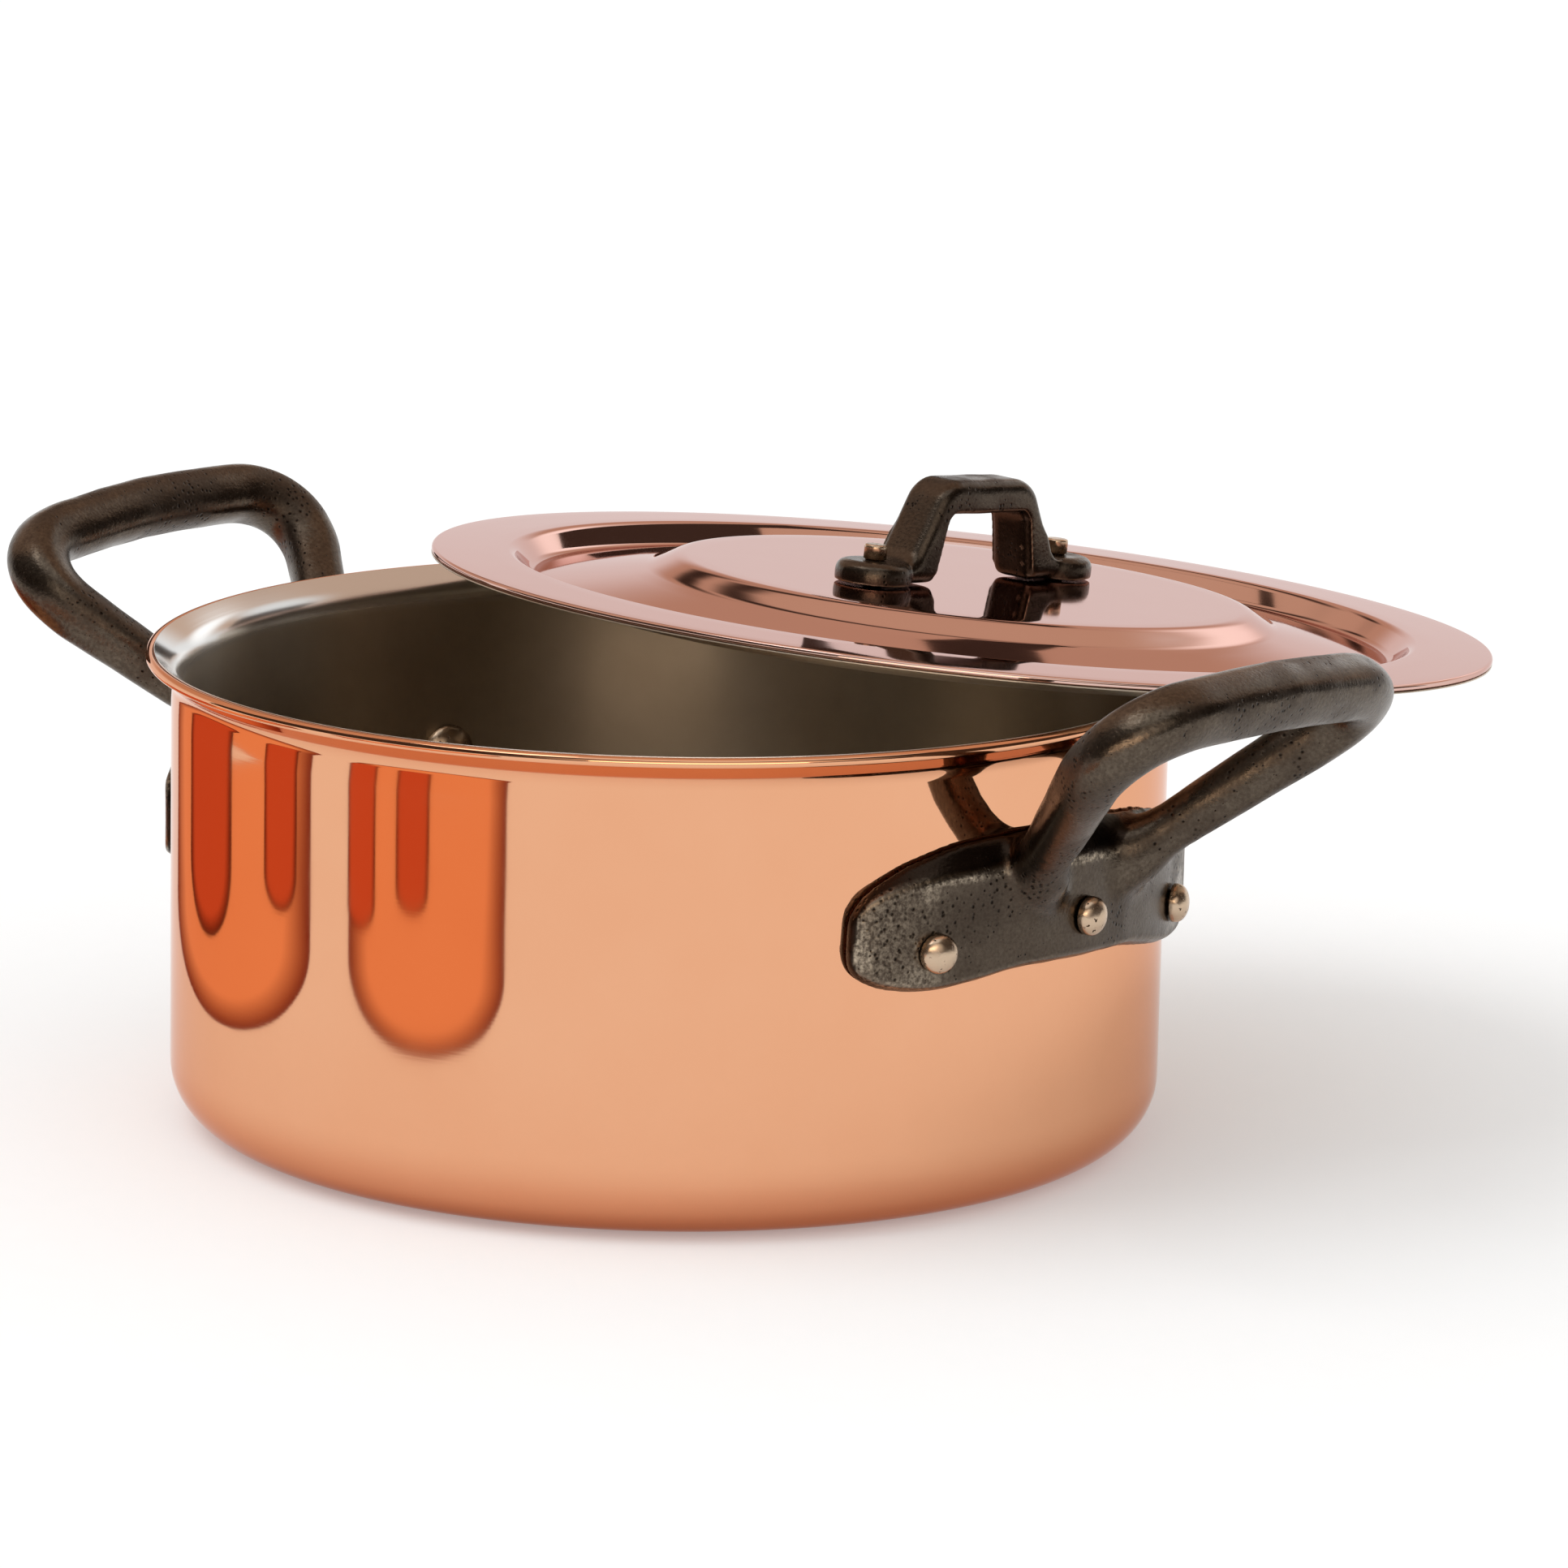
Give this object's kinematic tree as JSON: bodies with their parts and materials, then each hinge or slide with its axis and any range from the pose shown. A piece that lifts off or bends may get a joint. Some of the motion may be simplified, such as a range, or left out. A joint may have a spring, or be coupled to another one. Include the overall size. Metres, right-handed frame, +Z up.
{
  "type": "lidded casserole pot",
  "caption": "Round copper cooking pot with a flared lip, steel lining, riveted cast-iron loop handles, and a lid with a bridge handle that lies askew on the lip and lifts off.",
  "frame": {"origin": "centre of the pot's flat underside, on the surface that it stands on", "axes": "+Z up along the pot's axis, +X along the right handle, +Y to the side that the lid is pushed towards"},
  "size_m": [0.3088, 0.2861, 0.129],
  "materials": {
    "body_copper": "mirror polished copper",
    "lid_copper": "polished copper, pinker than the body",
    "lining_steel": "satin stainless steel",
    "handle_iron": "dark waxed sand casting with bright worn edges",
    "rivet_steel": "peened head, satin"
  },
  "bodies": {
    "pot": {"pot_body": "body_copper", "pot_lining": "lining_steel", "side_handle_right": "handle_iron", "side_handle_left": "handle_iron", "right_handle_rivet_1": "rivet_steel", "right_handle_rivet_2": "rivet_steel", "right_handle_rivet_3": "rivet_steel", "left_handle_rivet_1": "rivet_steel", "left_handle_rivet_2": "rivet_steel", "left_handle_rivet_3": "rivet_steel"},
    "lid": {"lid_plate": "lid_copper", "lid_lining": "lining_steel", "lid_handle": "handle_iron", "lid_rivet_1": "rivet_steel", "lid_rivet_2": "rivet_steel"}
  },
  "joints": [
    {"name": "lid_lift", "type": "slide", "parent": "pot", "child": "lid", "axis": [0, 0, 1], "range_m": [0, 0.2]}
  ]
}
